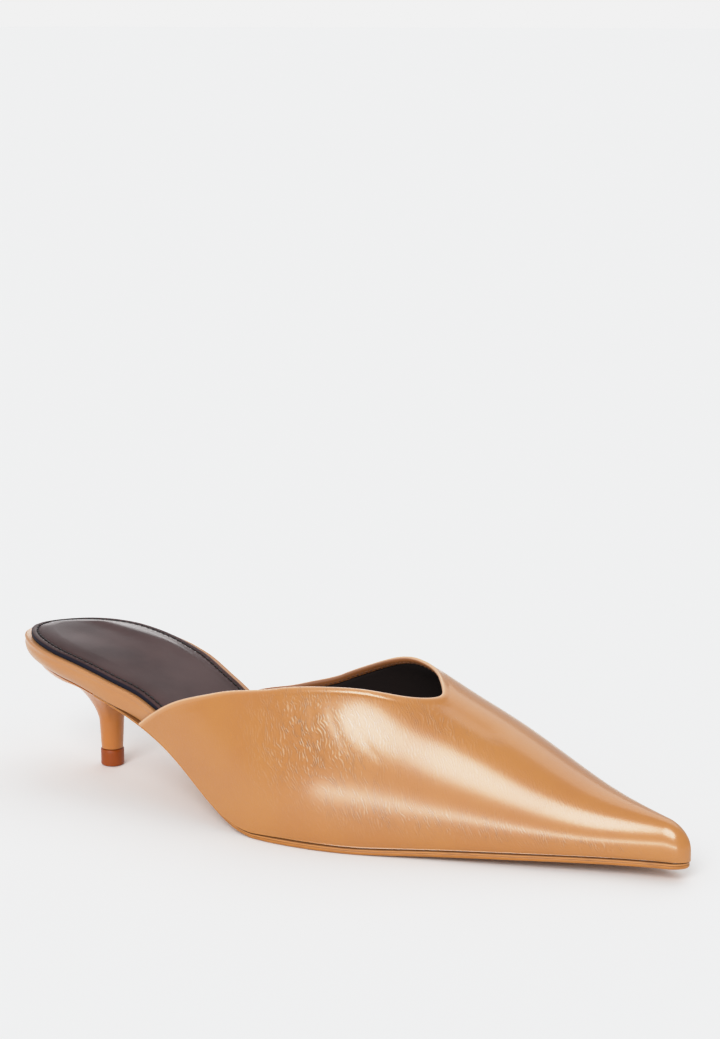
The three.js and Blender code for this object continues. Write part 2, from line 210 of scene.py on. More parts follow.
@dataclass(frozen=True)
class Last:
    """Form of the last and of the sole under it, in millimetres from the heel's back."""

    length: float = 270.0
    ball_width: float = 73.0
    seat_width: float = 54.0
    heel_height: float = 37.8
    toe_spring: float = 4.6
    arch_lift: float = 2.6
    instep_height: float = 58.6
    nose_height: float = 4.0
    heel_round: float = 30.0
    toe_round: float = 5.0
    crown_round: float = 9.0
    tuck: float = 1.2
    tuck_depth: float = 4.0
    clearance: float = 0.3
    fore_sole: float = 2.1
    waist_sole: float = 1.0
    fore_margin: float = 0.5
    waist_margin: float = 0.6
    rim_lean: float = 4.6
    waist_lean: float = 0.5
    widening: Span = (0.2, 0.5)
    waist_start: Span = (0.08, 0.22)
    waist_end: Span = (0.34, 0.48)
    leaning: Span = (0.06, 0.22)
    fore_start: Span = (0.38, 0.52)
    lateral_share: Spline = field(default_factory=lambda: Spline(OUTLINE, "lateral"))
    medial_share: Spline = field(default_factory=lambda: Spline(OUTLINE, "medial"))
    arch_share: Spline = field(default_factory=lambda: Spline(BOTTOM, "arch"))
    spring_share: Spline = field(default_factory=lambda: Spline(BOTTOM, "spring"))
    crown_height: Spline = field(default_factory=lambda: Spline(CROWN, "height"))
    crown_shift: Spline = field(default_factory=lambda: Spline(CROWN, "shift"))

    def edge(self, x: Array, side: Any, inset: Any = 0.0, tip: float | None = None,
             tip_round: float | None = None) -> Array:
        """Sole edge in plan: the mid line plus the half width, closed by two quarter rounds.

        Args:
            x: Distances from the heel's back.
            side: Side of the shoe.
            inset: Distance inwards from the edge.
            tip: Where the piece ends; the toe by default.
            tip_round: Radius of that end in plan.

        Returns:
            y of the edge at each place.
        """
        tip = self.length if tip is None else tip
        tip_round = self.toe_round if tip_round is None else tip_round
        share = x / self.length
        width = lerp(self.seat_width, self.ball_width, smoothstep(share, *self.widening))
        out = self.lateral_share(share) * width
        inner = self.medial_share(share) * width
        half = (out + inner) / 2.0 - inset
        ends = round_end(x - inset, self.heel_round) * round_end(tip - inset - x, tip_round)
        return (inner - out) / 2.0 + side * half * ends

    def sole_bottom(self, x: Array, y: Array) -> Array:
        """Underside of the sole: arch, toe spring and the tilt of the waist, added up.

        Args:
            x: Distances from the heel's back.
            y: Distances from the middle.

        Returns:
            Height over the floor at each place.
        """
        share = x / self.length
        arch = self.heel_height * np.maximum(0.0, self.arch_share(share))
        spring = self.toe_spring * np.maximum(0.0, self.spring_share(share))
        return arch + spring + self.arch_lift * self.waist(x) * (0.5 + y / self.ball_width)

    def waist(self, x: Array) -> Array:
        """1 at the waist, 0 under the seat and the ball."""
        return plateau(x / self.length, self.waist_start, self.waist_end)

    def lean(self, x: Array) -> Array:
        """How far the footbed's rim leans in at its foot."""
        return lerp(self.rim_lean, self.waist_lean, smoothstep(x / self.length, *self.leaning))

    def forepart(self, x: Array) -> Array:
        """0 behind the waist, 1 from the ball forwards."""
        return smoothstep(x / self.length, *self.fore_start)

    def sole_thickness(self, x: Array) -> Array:
        """Thickness of the outsole."""
        return lerp(self.waist_sole, self.fore_sole, self.forepart(x))

    def sole_margin(self, x: Array) -> Array:
        """Distance of the outsole's edge inside the last's edge."""
        return lerp(self.lean(x) + self.waist_margin, self.fore_margin, self.forepart(x))

    def sole_top(self, x: Array, y: Array) -> Array:
        """Top of the outsole, where the upper and the footbed stand."""
        return self.sole_bottom(x, y) + self.sole_thickness(x)

    def point(self, x: Array, girth: Array, inset: Any = 0.0) -> Array:
        """Point of the last: a quarter ellipse from the sole edge up to the crown on each side.

        Args:
            x: Distance from the heel's back.
            girth: -1 at the lateral sole edge, 0 at the crown, 1 at the medial sole edge.
            inset: Distance inwards from the surface.

        Returns:
            Points, with x, y and z in the last axis.
        """
        side = side_of(girth)
        turn = (1.0 - np.abs(girth)) * math.pi / 2.0
        nose = round_end(self.length - inset - x, self.crown_round)
        share = x / self.length
        full = self.instep_height * self.crown_height(share) - inset
        height = self.nose_height + (full - self.nose_height) * nose
        rise = height * np.sin(turn)
        ends = self.forepart(x) * round_end(self.length - inset - x, 2.0 * self.toe_round)
        tuck = self.tuck * np.exp(-rise / self.tuck_depth) * ends
        foot = self.edge(x, side, inset) - side * tuck
        crown = self.ball_width * self.crown_shift(share)
        y = lerp(crown, foot, np.cos(turn))
        return np.stack([x, y, self.sole_top(x, y) + self.clearance + rise], -1)

    def quarter(self, x: Array, side: Any) -> Array:
        """Length of the quarter ellipse: pi/2 times the root mean square of its half axes.

        Args:
            x: Distances from the heel's back.
            side: Side of the shoe.

        Returns:
            Millimetres from the sole edge up to the crown.
        """
        share = x / self.length
        across = self.ball_width * self.crown_shift(share) - self.edge(x, side)
        up = self.instep_height * self.crown_height(share)
        return math.pi / 2.0 * np.sqrt((across**2 + up**2) / 2.0)


class Frame:
    """Places the last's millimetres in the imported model's frame, in metres."""

    def __init__(self) -> None:
        """Reads the shift off the top piece, which stands on the stem's axis."""
        low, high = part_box("top_piece")
        self.shift = np.array([(low[0] + high[0]) / 2 - STEM_PLACE * MM, (low[1] + high[1]) / 2, 0.0])

    def place(self, points: Array) -> Array:
        """The points in the frame's metres."""
        return points * MM + self.shift


@dataclass
class Sheet:
    """Points, faces and the values that a mesh carries."""

    points: Array
    faces: list[list[int]]
    uv: Array
    marks: dict[str, Array] = field(default_factory=dict)


def grid_faces(rows: int, columns: int, closed: bool = False) -> Array:
    """Quads of a grid whose points are numbered row by row.

    Args:
        rows: Number of rows of points.
        columns: Number of points in a row.
        closed: Whether the last column joins the first.

    Returns:
        One row of four point numbers for each quad.
    """
    index = np.arange(rows * columns).reshape(rows, columns)
    if closed:
        index = np.concatenate([index, index[:, :1]], 1)
    quads = [index[:-1, :-1], index[:-1, 1:], index[1:, 1:], index[1:, :-1]]
    return np.stack(quads, -1).reshape(-1, 4)


def signed_volume(points: Array, faces: list[list[int]]) -> float:
    """Six times the volume inside the faces, fan by fan: positive when they point outwards.

    Args:
        points: Corners of the faces.
        faces: Lists of point numbers.

    Returns:
        The sum of a dot b cross c over all triangles.
    """
    total = 0.0
    for size in {len(face) for face in faces}:
        some = np.array([face for face in faces if len(face) == size])
        for k in range(1, size - 1):
            a, b, c = points[some[:, 0]], points[some[:, k]], points[some[:, k + 1]]
            total += float(np.einsum("ij,ij->", a, np.cross(b, c)))
    return total


def add_object(name: str, data: bpy.types.ID) -> bpy.types.Object:
    """Adds an object with this data to the scene."""
    made = bpy.data.objects.new(name, data)
    bpy.context.scene.collection.objects.link(made)
    return made


def make_piece(name: str, sheet: Sheet, frame: Frame, node: str, finish: "Finish",
               sharp: float | None = None) -> bpy.types.Object:
    """Makes a piece of the shoe: mesh, merged seams, outward faces, body, slot and material.

    Args:
        name: Name of the piece.
        sheet: Its surface, in the last's millimetres.
        frame: Where the last stands.
        node: The CAD node that it stands for.
        finish: Its material.
        sharp: Angle in degrees past which an edge stays sharp.

    Returns:
        The new object.
    """
    faces = sheet.faces
    if signed_volume(sheet.points, faces) < 0:
        faces = [face[::-1] for face in faces]
    mesh = bpy.data.meshes.new(name)
    mesh.from_pydata(frame.place(sheet.points).tolist(), [], faces)
    loops = np.empty(len(mesh.loops), np.int32)
    mesh.loops.foreach_get("vertex_index", loops)
    layer = mesh.uv_layers.new(name="surface")
    layer.data.foreach_set("uv", sheet.uv[loops].astype(np.float32).ravel())
    for mark, values in sheet.marks.items():
        attribute = mesh.attributes.new(mark, "FLOAT", "POINT")
        attribute.data.foreach_set("value", values.astype(np.float32).ravel())
    work = bmesh.new()
    work.from_mesh(mesh)
    bmesh.ops.remove_doubles(work, verts=work.verts, dist=4e-6)
    bmesh.ops.dissolve_degenerate(work, edges=work.edges, dist=1e-7)
    work.to_mesh(mesh)
    work.free()
    mesh.shade_smooth()
    if sharp is not None:
        mesh.set_sharp_from_angle(angle=math.radians(sharp))
    piece = add_object(name, mesh)
    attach(piece, "root")
    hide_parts(node)
    mesh.materials.append(finish.material())
    log.info("%s: %d faces", name, len(mesh.polygons))
    return piece


@dataclass(frozen=True)
class Ring:
    """One line around a slab, with the mark that its points carry."""

    inset: InsetRule
    height: HeightRule
    mark: float = 0.0


@dataclass
class Slab:
    """Closed slab between the two sides of the sole.

    A section runs up the lateral rings, across the top, down the medial rings and back across
    the bottom. Stations along the shoe are closer together towards both ends, as a cosine is.
    """

    last: Last
    rings: list[Ring]
    start: float = 0.0
    end: float = 270.0
    steps: int = 200
    across: int = 24
    across_bottom: int = 4
    square_heel: bool = False
    tip_round: float = 5.0
    relief: HeightRule | None = None

    def line(self, ring: Ring, side: Side) -> Array:
        """Points of one ring on one side, from the heel to the toe.

        Args:
            ring: The ring's inset and height.
            side: Side of the shoe.

        Returns:
            One point for each station.
        """
        share = 0.5 - 0.5 * np.cos(np.pi * np.arange(self.steps + 1) / self.steps)
        start, end = np.array(self.start), np.array(self.end)
        begin = self.start + (0.0 if self.square_heel else float(ring.inset(start, side)))
        x = lerp(begin, self.end - float(ring.inset(end, side)), share)
        y = self.last.edge(x, side, ring.inset(x, side), self.end, self.tip_round)
        return np.stack([x, y, ring.height(x, y)], -1)

    def cross(self, ring: Ring, near: Array, far: Array, count: int, top: bool) -> list[Array]:
        """Lines across a face, straight between its two sides in plan.

        Args:
            ring: The ring whose height the face has.
            near: Line at the face's first side.
            far: Line at its other side.
            count: Number of strips.
            top: Whether the face carries the relief.

        Returns:
            The lines between the two sides.
        """
        lines = []
        for k in range(1, count):
            line = lerp(near, far, k / count)
            line[:, 2] = ring.height(line[:, 0], line[:, 1])
            if top and self.relief is not None:
                line[:, 2] += self.relief(line[:, 0], line[:, 1])
            lines.append(line)
        return lines

    def tip(self, lateral: list[Array], medial: list[Array], row: int, top: int, bottom: int) -> Array:
        """End row that closes the slab: the two sides of each ring meet halfway between them.

        Args:
            lateral: Rings of the lateral side.
            medial: Rings of the medial side.
            row: 0 at the heel, -1 at the toe.
            top: Number of lines across the top.
            bottom: Number of lines across the bottom.

        Returns:
            One row with a point for each line along the slab.
        """
        middle = [(near[row] + far[row]) / 2.0 for near, far in zip(lateral, medial)]
        return np.stack(middle + [middle[-1]] * top + middle[::-1] + [middle[0]] * bottom)[None]

    def sheet(self) -> Sheet:
        """The slab's surface."""
        lateral = [self.line(ring, Side.LATERAL) for ring in self.rings]
        medial = [self.line(ring, Side.MEDIAL) for ring in self.rings]
        if self.relief is not None:
            for line in (lateral[-1], medial[-1]):
                line[:, 2] += self.relief(line[:, 0], line[:, 1])
        top = self.cross(self.rings[-1], lateral[-1], medial[-1], self.across, True)
        bottom = self.cross(self.rings[0], medial[0], lateral[0], self.across_bottom, False)
        lines = lateral + top + medial[::-1] + bottom
        marks = [ring.mark for ring in self.rings]
        across = [marks[-1]] * len(top)
        mark = np.array(marks + across + marks[::-1] + [marks[0]] * len(bottom))
        points = np.stack(lines, 1)
        heel, toe = [self.tip(lateral, medial, row, len(top), len(bottom)) for row in (0, -1)]
        points = np.concatenate([heel, points, toe])
        rows, columns = points.shape[:2]
        flat = points.reshape(-1, 3)
        along = flat[:, 0] / self.last.length
        around = np.tile(np.arange(columns) / columns, rows)
        faces = grid_faces(rows, columns, True).tolist()
        uv = np.stack([along, around], -1)
        return Sheet(flat, faces, uv, {"rise": np.tile(mark, rows)})


@dataclass(frozen=True)
class Crease:
    """Soft trough or ridge along a bowed line on the upper.

    Places are x in millimetres from the heel's back and girth; the line is a quadratic curve.
    """

    start: Span
    middle: Span
    end: Span
    width: float
    depth: float


@dataclass
class Upper:
    """Glossy leather upper with a turned topline edge, a tan facing band and a dark lining."""

    last: Last
    frame: Frame
    wall: float = 1.8
    leather: float = 1.0
    lining_face: float = 1.6
    band: float = 2.3
    around: int = 220
    along: int = 288
    inner_ratio: int = 8
    fold_steps: int = 10
    band_steps: int = 6
    crowding: float = 2.0
    edge_groove: float = 0.14
    edge_width: float = 3.0
    # Reach of the painted highlight along the topline edge, in millimetres.
    edge_highlight_reach: float = 0.9
    lining_around: int = 120
    lining_along: int = 72
    lining_overlap: float = 0.5
    lining_gap: float = 0.03
    seam_place: float = 0.8
    seam_stops: int = 1400
    crease_stops: int = 25
    creases: tuple[Crease, ...] = ()
    girth_rule: Spline = field(default_factory=lambda: Spline(TOPLINE, "girth", "step"))
    at_rule: Spline = field(default_factory=lambda: Spline(TOPLINE, "at", "step"))

    def surface(self, step: Array, share: Array, inset: Any) -> tuple[Array, Array, Array]:
        """Points between the topline, at share 0, and the toe, at share 1.

        Args:
            step: 0 at the lateral wing, 1 at the medial wing.
            share: Way from the topline to the toe.
            inset: Distance inwards from the outer face.

        Returns:
            Points, their x and their girth.
        """
        rear_x = self.last.length * self.at_rule(step)
        rear_girth = np.clip(self.girth_rule(step), -1.0, 1.0)
        x = lerp(rear_x, self.last.length - inset, share)
        girth = lerp(rear_girth, 2.0 * step - 1.0, smoothstep(share, 0.0, 1.0))
        return self.last.point(x, girth, inset), x, girth

    def topline(self, step: Array) -> tuple[Array, Array]:
        """Inward direction along the surface at the topline, and its speed.

        Args:
            step: Places along the topline.

        Returns:
            Unit vectors square to the topline, and millimetres of distance for each unit of share.
        """
        probe = 0.004
        edge = self.surface(step, np.zeros_like(step), 0.0)[0]
        ahead = (self.surface(step, np.full_like(step, probe), 0.0)[0] - edge) / probe
        tangent = unit(np.gradient(edge, axis=0))
        inward = ahead - tangent * (ahead * tangent).sum(1, keepdims=True)
        speed = np.linalg.norm(inward, axis=1)
        return inward / speed[:, None], speed

    def crowded(self, count: int) -> Array:
        """Shares from 0 at the topline to 1 at the toe, closer together towards the toe."""
        return 1.0 - (1.0 - np.arange(count + 1) / count) ** self.crowding

    def relief(self, x: Array, girth: Array, distance: Array) -> Array:
        """Height of the listed creases: bells across each crease's line, added up.

        Args:
            x: Distances from the heel's back.
            girth: Girths of the same points.
            distance: Their distances from the topline.

        Returns:
            Depths, with the fine groove along the topline added.
        """
        quarter = self.last.quarter(x, side_of(girth))
        height = np.zeros_like(x)
        t = np.linspace(0.0, 1.0, self.crease_stops)
        for crease in self.creases:
            stops = np.array([crease.start, crease.middle, crease.end])
            line = (
                stops[0] * ((1 - t) ** 2)[:, None]
                + stops[1] * (2 * t * (1 - t))[:, None]
                + stops[2] * (t**2)[:, None]
            )
            scale = self.last.quarter(line[:, 0], side_of(line[:, 1])).mean()
            reach = 3.0 * crease.width
            near = (
                (x > line[:, 0].min() - reach)
                & (x < line[:, 0].max() + reach)
                & (girth * scale > line[:, 1].min() * scale - reach)
                & (girth * scale < line[:, 1].max() * scale + reach)
            )
            if not near.any():
                continue
            dx = x[near][:, None] - line[:, 0]
            dv = (girth[near] * quarter[near])[:, None] - line[:, 1] * quarter[near][:, None]
            square = dx**2 + dv**2
            best = square.argmin(1)
            way = t[best]
            fade = plateau(way, (0.0, 0.25), (0.75, 1.0))
            height[near] += crease.depth * np.exp(-square.min(1) / crease.width**2) * fade
        turned_edge = self.edge_groove * bump(distance, self.edge_width, 0.9)
        return height * smoothstep(distance, 1.0, 5.0) + turned_edge

    def crinkle(self, x: Array, girth: Array) -> Array:
        """How crinkled the leather is: the patches' bells and plateaus, added up.

        Args:
            x: Distances from the heel's back.
            girth: Girths of the same points.

        Returns:
            Values from 0 to 1.
        """
        total = np.zeros_like(x)
        for weight, at, reach, girth_at, girth_reach in PATCHES:
            total += weight * bump(x, at, reach) * bump(girth, girth_at, girth_reach)
        for weight, rise, fall, girth_at, girth_reach in LONG_PATCHES:
            total += weight * plateau(x, rise, fall) * bump(girth, girth_at, girth_reach)
        return np.clip(total, 0.0, 1.0)

    def shell(self) -> Sheet:
        """The leather: outer face, turned edge, facing band and hidden inner face, closed below."""
        round_radius = self.wall / 2.0
        step = np.arange(self.around + 1) / self.around
        inward, speed = self.topline(step)
        s = step[:, None]
        first = (round_radius / speed)[:, None]
        crowd = self.crowded(self.along)
        share = lerp(first, 1.0, crowd[None])
        outer, x, girth = self.surface(s, share, 0.0)
        distance = share * speed[:, None]
        normal = unit(np.cross(np.gradient(outer, axis=1), np.gradient(outer, axis=0)))
        foot = self.last.quarter(x, side_of(girth)) * (1.0 - np.abs(girth))
        fade = smoothstep(foot, 1.0, 7.0) * (1.0 - smoothstep(x, 255.0, 266.0))
        outer = outer - normal * (self.relief(x, girth, distance) * fade)[..., None]
        edge_out = outer[:, 0]
        edge_in = self.surface(step, first[:, 0], self.wall)[0]
        middle = (edge_out + edge_in) / 2.0
        turn = (np.pi * np.arange(1, self.fold_steps) / self.fold_steps)[None, :, None]
        fold = (
            middle[:, None]
            + (edge_out - middle)[:, None] * np.cos(turn)
            - inward[:, None] * round_radius * np.sin(turn)
        )
        away = lerp(round_radius, self.band, np.arange(self.band_steps + 1) / self.band_steps)
        band = self.surface(s, away[None] / speed[:, None], self.wall)[0]
        hidden_count = self.along // self.inner_ratio
        hidden_share = crowd[:: self.inner_ratio]
        hidden_first = (self.band / speed)[:, None]
        hidden = self.surface(s, lerp(hidden_first, 1.0, hidden_share[None]), self.leather)[0]
        rows = [outer[:, ::-1], fold, band, hidden]
        points = np.concatenate(rows, 1)
        columns = points.shape[1]
        faces = grid_faces(self.around + 1, columns).tolist()
        for j in (0, self.around):
            faces += self.foot_faces(j, columns, hidden_count)
        across = girth * self.last.quarter(x, side_of(girth))
        pad = columns - across.shape[1]
        across = np.concatenate([across[:, ::-1], np.repeat(across[:, :1], pad, 1)], 1)
        # Crinkle mark: where the ripples' bump and their painted highlights show.
        mark = np.concatenate([self.crinkle(x, girth)[:, ::-1], np.zeros((self.around + 1, pad))], 1)
        # Mask of the inner faces that take the painted shade of the facing.
        inner = np.zeros_like(mark)
        inner[:, self.along + 1 + self.fold_steps // 2:] = 1.0
        uv = np.stack([points[..., 0] / self.last.length, 0.5 + across / self.last.length], -1)
        # Mask of the painted highlight along the turned topline edge.
        edge = bump(distance, 0.0, self.edge_highlight_reach)[:, ::-1]
        edge = np.concatenate([edge, np.ones((self.around + 1, pad))], 1)
        marks = {"crinkle": mark.ravel(), "inside": inner.ravel(), "edge": edge.ravel()}
        return Sheet(points.reshape(-1, 3), faces, uv.reshape(-1, 2), marks)

    def foot_faces(self, j: int, columns: int, hidden_count: int) -> list[list[int]]:
        """Faces that close the shell along one foot edge, between its outer and inner lines.

        Args:
            j: Row of the shell's grid at that edge.
            columns: Number of points in a row.
            hidden_count: Number of steps along the inner line.

        Returns:
            Triangles, and the one face across the turned edge and the band.
        """
        base = j * columns
        outer = base + self.along - np.arange(self.along + 1)
        last_column = base + columns - 1
        hidden = last_column - hidden_count + np.arange(hidden_count + 1)
        faces = []
        for k in range(hidden_count):
            for i in range(k * self.inner_ratio, (k + 1) * self.inner_ratio):
                faces.append([int(outer[i]), int(outer[i + 1]), int(hidden[k])])
            corner = (k + 1) * self.inner_ratio
            faces.append([int(outer[corner]), int(hidden[k + 1]), int(hidden[k])])
        faces.append(list(range(int(outer[0]), int(hidden[0]) + 1)))
        if j == 0:
            faces = [face[::-1] for face in faces]
        return faces

    def lining(self) -> Sheet:
        """Thin dark lining inside the leather, from the facing band down to the footbed."""
        around, along = self.lining_around, self.lining_along
        step = np.arange(around + 1) / around
        speed = self.topline(step)[1]
        first = (self.band - self.lining_overlap) / speed
        share = lerp(first[:, None], 1.0, self.crowded(along)[None])
        outer = self.surface(step[:, None], share, self.leather + self.lining_gap)[0]
        inner = self.surface(step[:, None], share, self.lining_face)[0]
        points = np.concatenate([outer[:, ::-1], inner], 1)
        columns = points.shape[1]
        faces = grid_faces(around + 1, columns).tolist()
        pairs = np.arange(along)
        for j in (0, around):
            near = j * columns + along - pairs
            far = j * columns + along + 1 + pairs
            quads = np.stack([near, near - 1, far + 1, far], -1)
            faces += (quads[:, ::-1] if j == 0 else quads).tolist()
        flat = points.reshape(-1, 3)
        uv = np.stack([flat[:, 0] / self.last.length, 0.5 + flat[:, 1] / self.last.length], -1)
        return Sheet(flat, faces, uv)

    def build(self, leather: "Finish", lining: "Finish", thread: "Finish") -> None:
        """Makes the leather shell, its lining and the stitches on the facing band.

        Args:
            leather: Finish of the shell.
            lining: Finish of the lining.
            thread: Finish of the stitches.
        """
        make_piece("upper_leather", self.shell(), self.frame, "upper", leather)
        make_piece("upper_lining", self.lining(), self.frame, "upper", lining)
        step = np.linspace(0.01, 0.99, self.seam_stops)
        share = (self.band - self.seam_place) / self.topline(step)[1]
        line = self.surface(step, share, self.wall)[0]
        deeper = self.surface(step, share, self.wall + 1.0)[0]
        seam = Seam(line, deeper - line, pitch=2.1, stitch=1.35, radius=0.2, lift=0.04)
        make_piece("topline_thread", seam.sheet(), self.frame, "upper", thread)


@dataclass
class Seam:
    """Row of small stitches along a line on a surface.

    A stitch is a long round body whose two ends dip into the surface: its radius is the sine of
    the way along it, to the power 0.6.
    """

    line: Array
    up: Array
    pitch: float
    stitch: float
    radius: float
    lift: float
    rows: int = 7
    columns: int = 8

    def sheet(self) -> Sheet:
        """All the stitches as one surface."""
        reach = np.concatenate([[0.0], np.cumsum(np.linalg.norm(np.diff(self.line, axis=0), axis=1))])
        count = int(reach[-1] // self.pitch)
        at = (np.arange(count) + 0.5) * self.pitch

        def read(table: Array, places: Array) -> Array:
            """Rows of a table, read at places along the line."""
            return np.stack([np.interp(places, reach, column) for column in table.T], -1)

        middle = read(self.line, at)
        ahead = unit(read(self.line, at + 0.3) - middle)
        up = read(self.up, at)
        up = unit(up - ahead * (up * ahead).sum(1, keepdims=True))
        side = np.cross(up, ahead)
        rows, columns = self.rows, self.columns
        a = (np.pi * np.arange(rows) / (rows - 1))[None, :, None, None]
        b = (2.0 * np.pi * np.arange(columns) / columns)[None, None, :, None]
        body = self.radius * np.sin(a) ** 0.6
        points = (
            middle[:, None, None]
            - ahead[:, None, None] * (self.stitch / 2.0) * np.cos(a)
            + (side[:, None, None] * np.cos(b) + up[:, None, None] * np.sin(b)) * body
            + up[:, None, None] * (self.lift + 0.6 * self.radius * (np.sin(a) - 0.7))
        )
        one = grid_faces(rows, columns, True)
        faces = (one[None] + (np.arange(count) * rows * columns)[:, None, None]).reshape(-1, 4)
        way = np.broadcast_to(np.linspace(0.0, 1.0, rows)[None, :, None], points.shape[:3])
        turn = np.broadcast_to(np.arange(columns) / columns, points.shape[:3])
        uv = np.stack([way.ravel(), turn.ravel()], -1)
        return Sheet(points.reshape(-1, 3), faces.tolist(), uv)


@dataclass
class Footbed:
    """Insole board wrapped in leather: beaded rim behind the upper, thin board inside it."""

    last: Last
    frame: Frame
    rim: float = 10.0
    waist_rim: float = 7.7
    board: float = 3.2
    bead: float = 0.75
    hollow: float = 0.22
    hollow_place: float = 1.9
    inside_upper: float = 2.1
    taper: float = 16.0
    lateral_wing: float = 70.2
    medial_wing: float = 78.84
    thinning: Span = (0.0, 0.18)
    board_start: Span = (0.27, 0.46)
    hollow_end: Span = (0.27, 0.36)
    lean_start: float = 0.8
    lean_power: float = 2.5

    def height(self, x: Array) -> Array:
        """Height of the rim over its base."""
        share = x / self.last.length
        rim = lerp(self.rim, self.waist_rim, smoothstep(share, *self.thinning))
        return lerp(rim, self.board, smoothstep(share, *self.board_start))

    def base(self, x: Array, y: Array) -> Array:
        """Height at which the footbed stands."""
        return self.last.sole_top(x, y) + self.last.clearance

    def top(self, x: Array, y: Array) -> Array:
        """Top face of the footbed."""
        return self.base(x, y) + self.height(x)

    def tucked(self, x: Array, side: Side) -> Array:
        """Inset of the part that stands inside the upper.

        Args:
            x: Distances from the heel's back.
            side: Side of the shoe.

        Returns:
            The inset at each place.
        """
        wing = (self.lateral_wing if side is Side.LATERAL else self.medial_wing) - self.last.clearance
        inside = self.inside_upper * smoothstep(x, wing - self.taper, wing)
        return inside + self.last.tuck * self.last.forepart(x)

    def ring(self, depth: float, inset: float, share: float) -> Ring:
        """Line around the rim.

        Args:
            depth: Distance under the top face, where share is 0.
            inset: Distance inwards from the widest line.
            share: Way down from depth to the foot.

        Returns:
            The ring, marked with its way down from the top.
        """
        def height_over_base(x: Array) -> Array:
            """Height of the ring over the footbed's base."""
            full = self.height(x)
            return (full - np.minimum(depth, 0.7 * full)) * (1.0 - share)

        def ring_inset(x: Array, side: Side) -> Array:
            """Inset of the ring: the rim's lean, its hollow and the part inside the upper, added up.

            Args:
                x: Distances from the heel's back.
                side: Side of the shoe.

            Returns:
                The inset at each place.
            """
            full = self.height(x)
            way = height_over_base(x) / full
            lean = np.maximum(0.0, 1.0 - way / self.lean_start) ** self.lean_power
            open_rim = 1.0 - smoothstep(x / self.last.length, *self.hollow_end)
            below = full - height_over_base(x)
            hollow = self.hollow * open_rim * bump(below, self.hollow_place, 0.7)
            return lean * self.last.lean(x) + hollow + inset + self.tucked(x, side)

        return Ring(ring_inset, lambda x, y: self.base(x, y) + height_over_base(x), 1.0 - share)

    def build(self, finish: "Finish") -> None:
        """Makes the wrapped footbed: foot, side and rounded bead, ring by ring.

        Args:
            finish: Its leather.
        """
        rings = [self.ring(self.bead, 0.35, 1.0)]
        rings += [self.ring(self.bead, 0.0, share) for share in np.linspace(0.97, 0.0, 26)]
        for turn in np.linspace(0.0, math.pi / 2, 7)[1:]:
            depth = self.bead * (1.0 - math.sin(turn))
            rings.append(self.ring(depth, self.bead * (1.0 - math.cos(turn)), 0.0))
        rings.append(self.ring(0.0, self.bead + 1.0, 0.0))
        slab = Slab(self.last, rings, steps=260, across=12)
        make_piece("footbed_wrap", slab.sheet(), self.frame, "footbed", finish)


@dataclass
class Sock:
    """Dark padded sock with a bare edge strip, a stitched groove, and a shallow dish and low ridge in
    the seat.
    """

    last: Last
    frame: Frame
    footbed: Footbed
    margin: float = 1.7
    heel_margin: float = 1.1
    waist_margin: float = 2.3
    gap: float = 0.08
    groove: float = 2.4
    groove_rise: float = 1.42
    end: float = 243.0
    tip_round: float = 20.0
    seat_start: Span = (8.0, 26.0)
    seat_end: Span = (52.0, 84.0)
    seam_end: float = 0.72

    def ring(self, inset: float, rise: float) -> Ring:
        """Line around the sock at an inset from its edge.

        Args:
            inset: Distance inwards from the sock's edge.
            rise: Height over the footbed.

        Returns:
            The ring, marked with its inset.
        """
        def ring_inset(x: Array, side: Side) -> Array:
            """Inset from the footbed's edge: wider round the heel and at the medial waist."""
            back = self.heel_margin * (1.0 - smoothstep(x, 0.0, 15.0))
            waist = self.waist_margin * self.last.waist(x) if side is Side.MEDIAL else 0.0
            return self.margin + back + waist + self.footbed.tucked(x, side) + inset

        return Ring(ring_inset, lambda x, y: self.footbed.top(x, y) + self.gap + rise, inset)

    def relief(self, x: Array, y: Array) -> Array:
        """Wear of the seat: a shallow dish along the middle and a low ridge on the medial side."""
        seat = plateau(x, self.seat_start, self.seat_end)
        return seat * (0.7 * bump(y, 12.0, 3.6) - 0.2 * bump(y, -4.0, 8.0))

    def build(self, leather: "Finish", thread: "Finish") -> None:
        """Makes the sock and the stitches in its groove.

        Args:
            leather: Finish of the sock.
            thread: Finish of the stitches.
        """
        profile = SOCK_EDGE + ((self.groove, self.groove_rise),) + SOCK_PAD
        rings = [self.ring(inset, rise) for inset, rise in profile]
        slab = Slab(self.last, rings, end=self.end, steps=240, across=40,
                    tip_round=self.tip_round, relief=self.relief)
        piece = make_piece("sock_pad", slab.sheet(), self.frame, "sock", leather)
        seam_ring = self.ring(self.groove, self.groove_rise + 0.08)
        near = slab.line(seam_ring, Side.LATERAL)
        far = slab.line(seam_ring, Side.MEDIAL)
        line = np.concatenate([near[::-1], far[1:]])
        line = line[line[:, 0] < self.seam_end * self.last.length]
        up = np.tile(np.array([0.0, 0.0, 1.0]), (len(line), 1))
        seam = Seam(line, up, pitch=2.7, stitch=2.2, radius=0.34, lift=0.16)
        make_piece("sock_thread", seam.sheet(), self.frame, "sock", thread)


